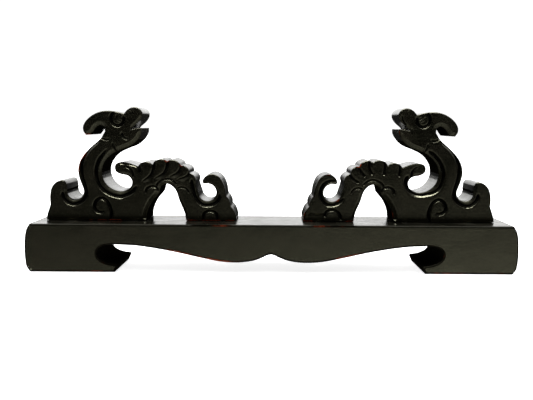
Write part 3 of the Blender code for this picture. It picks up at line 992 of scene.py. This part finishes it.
def screw_blank(length):
    """Turned head, shank and point, standing on its head, with the slot milled across the head."""
    r, h = SCREW_RADIUS - THREAD_HEIGHT * 0.5, HEAD_RADIUS
    outline = [
        (0, 0), (0.75 * h, 0.0), (0.93 * h, 0.12 * MM), (h, 0.4 * MM), (h, SCREW_HEAD_DEPTH - 0.5 * MM),
        (0.9 * h, SCREW_HEAD_DEPTH), (r, SCREW_HEAD_DEPTH), (r, length - 4 * MM),
        (0.6 * r, length - 1.6 * MM),
        (0, length),
    ]
    mesh = bmesh.new()
    line = [mesh.verts.new((x, 0, z)) for x, z in outline]
    edges = [mesh.edges.new(pair) for pair in zip(line[:-1], line[1:])]
    bmesh.ops.spin(mesh, geom=line + edges, axis=(0, 0, 1), cent=(0, 0, 0), steps=40, angle=2 * math.pi)
    bmesh.ops.remove_doubles(mesh, verts=mesh.verts, dist=1e-6)
    bmesh.ops.recalc_face_normals(mesh, faces=mesh.faces)
    data = bpy.data.meshes.new("screw_blank")
    mesh.to_mesh(data)
    mesh.free()
    blank = bpy.data.objects.new("screw_blank", data)
    bpy.context.collection.objects.link(blank)
    mill = bmesh.new()
    bmesh.ops.create_cube(
        mill, size=1, matrix=Matrix.Diagonal((3 * h, SLOT_WIDTH, 2 * SLOT_DEPTH, 1))
    )
    data = bpy.data.meshes.new("mill")
    mill.to_mesh(data)
    mill.free()
    tool = bpy.data.objects.new("mill", data)
    bpy.context.collection.objects.link(tool)
    slot = blank.modifiers.new("slot", "BOOLEAN")
    slot.object = tool
    bpy.context.view_layer.update()
    blank.data = bpy.data.meshes.new_from_object(
        blank.evaluated_get(bpy.context.evaluated_depsgraph_get())
    )
    blank.modifiers.clear()
    bpy.data.objects.remove(tool)
    return blank


def plated_steel(name):
    made = bpy.data.materials.new(name)
    made.use_nodes = True
    shader = made.node_tree.nodes["Principled BSDF"]
    place = node_of(made, "ShaderNodeTexCoord", out="Object")
    haze = node_of(made, "ShaderNodeTexNoise", out="Fac", Vector=place, Scale=800.0, Detail=3.0)
    colour = blended(made, eased(made, haze, 0.3, 0.7), (0.36, 0.34, 0.30, 1), (0.58, 0.56, 0.52, 1))
    made.node_tree.links.new(colour, shader.inputs["Base Color"])
    made.node_tree.links.new(eased(made, haze, 0.3, 0.7, 0.28, 0.45), shader.inputs["Roughness"])
    shader.inputs["Metallic"].default_value = 1.0
    bump = node_of(made, "ShaderNodeBump", Height=haze, Strength=0.15, Distance=0.00005)
    made.node_tree.links.new(bump, shader.inputs["Normal"])
    return made


driven = [(x, y, foot, top) for kind, x, y, foot, top in fixings if kind == "screw"]
screw_length = float(driven[0][3] - driven[0][2])
blank = screw_blank(screw_length)
screws = screw_tree().run(
    dots("screw_feet", [(x, y, foot) for x, y, foot, top in driven]),
    "slotted_screws",
    Shank_radius=SCREW_RADIUS - THREAD_HEIGHT,
    Length=screw_length,
    Pitch=THREAD_PITCH,
    Thread_height=THREAD_HEIGHT,
    Head_depth=SCREW_HEAD_DEPTH,
    Screw=blank,
    Finish=plated_steel("dulled_plating"),
)
bpy.data.objects.remove(blank)
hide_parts("left_body_screw", "left_tail_screw", "right_body_screw", "right_tail_screw")
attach(screws, "root")

# ---------------------------------------------------------------------------------------------
# Studio
# A plain white floor and surround, a softbox overhead, a second light that only the gloss shows,
# and a pale wall behind. The room in front is dim, so the faces stay black while the tops shine.

FLOOR_SIZE = 12.0
PAPER_GLOW = 0.84
PAPER_BELOW = 0.95
WALL_BEHIND = 1.75
ROOM_IN_FRONT = 0.02
CEILING = 1.2
OVERHEAD_WATTS = 9
LIP_LIGHT_WATTS = 130

floor_mesh = bpy.data.meshes.new("paper_floor")
half = FLOOR_SIZE / 2
corners = [(-half, -half, 0), (half, -half, 0), (half, half, 0), (-half, half, 0)]
floor_mesh.from_pydata(corners, [], [(0, 1, 2, 3)])
paper = bpy.data.materials.new("white_paper")
paper.use_nodes = True
paper_shader = paper.node_tree.nodes["Principled BSDF"]
paper_shader.inputs["Base Color"].default_value = (0.92, 0.92, 0.92, 1)
paper_shader.inputs["Roughness"].default_value = 0.95
paper_shader.inputs["Specular IOR Level"].default_value = 0.0
paper_shader.inputs["Emission Color"].default_value = (1, 1, 1, 1)
paper_shader.inputs["Emission Strength"].default_value = PAPER_GLOW
floor_mesh.materials.append(paper)
floor = bpy.data.objects.new("paper_floor", floor_mesh)
bpy.context.collection.objects.link(floor)
floor.visible_glossy = False


def softbox(name, place, aim, size, power):
    light = bpy.data.lights.new(name, "AREA")
    light.shape = "RECTANGLE"
    light.size, light.size_y = size
    light.energy = power
    made = bpy.data.objects.new(name, light)
    bpy.context.collection.objects.link(made)
    made.location = place
    made.rotation_euler = (Vector(aim) - Vector(place)).to_track_quat("-Z", "Y").to_euler()
    return made


softbox("overhead", (0, -0.05, 1.05), (0, 0, 0), (0.9, 0.5), OVERHEAD_WATTS)
softbox("lip_light", (0, 0.0, 1.3), (0, 0, 0), (1.3, 0.6), LIP_LIGHT_WATTS).visible_diffuse = False

world = bpy.data.worlds.new("studio_room")
bpy.context.scene.world = world
world.use_nodes = True
way = node_of(world, "ShaderNodeTexCoord", out="Generated")
apart = world.node_tree.nodes.new("ShaderNodeSeparateXYZ")
world.node_tree.links.new(way, apart.inputs[0])
behind = eased(world, apart.outputs["Y"], -0.35, 0.25, ROOM_IN_FRONT, WALL_BEHIND)
above = eased(world, apart.outputs["Z"], 0.055, 0.105)
low_glow = node_of(world, "ShaderNodeMath", {"operation": "MULTIPLY"}, _0=behind, _1=above)
ceiling = eased(world, apart.outputs["Z"], 0.45, 0.85, 0.02, CEILING)
in_front = eased(world, apart.outputs["Y"], -0.9, 0.1, 1.0, 0.0)
near_table = eased(world, apart.outputs["Z"], -0.20, -0.09, 0.86, 0.0)
sideways = eased(world, apart.outputs["X"], -0.30, 0.30, 0.62, 1.7)
near_table = node_of(world, "ShaderNodeMath", {"operation": "MULTIPLY"}, _0=near_table, _1=sideways)
near_table = node_of(world, "ShaderNodeMath", {"operation": "MULTIPLY"}, _0=near_table, _1=in_front)
below = eased(world, apart.outputs["Z"], -0.75, -0.35, PAPER_BELOW, 0.0)
below = node_of(world, "ShaderNodeMath", {"operation": "MAXIMUM"}, _0=below, _1=near_table)
glow = node_of(world, "ShaderNodeMath", {"operation": "ADD"}, _0=low_glow, _1=ceiling)
glow = node_of(world, "ShaderNodeMath", {"operation": "ADD"}, _0=glow, _1=below)
seen = node_of(world, "ShaderNodeLightPath", out="Is Camera Ray")
strength = node_of(
    world, "ShaderNodeMapRange", Value=seen, From_Min=0.0, From_Max=1.0, To_Min=glow, To_Max=1.1
)
world.node_tree.links.new(strength, world.node_tree.nodes["Background"].inputs["Strength"])
world.node_tree.nodes["Background"].inputs["Color"].default_value = (1, 1, 1, 1)

lens = bpy.data.cameras.new("camera")
lens.sensor_width = 36
lens.lens = 53.0
camera = bpy.data.objects.new("camera", lens)
bpy.context.collection.objects.link(camera)
camera.matrix_world = (
    Matrix.Translation((0.0012, -0.4956, 0.0894))
    @ Matrix.Rotation(math.radians(0.49), 4, "Z")
    @ Matrix.Rotation(math.radians(90 - 5.42), 4, "X")
    @ Matrix.Rotation(math.radians(0.28), 4, "Z")
)
bpy.context.scene.camera = camera
bpy.context.scene.view_settings.view_transform = "Standard"
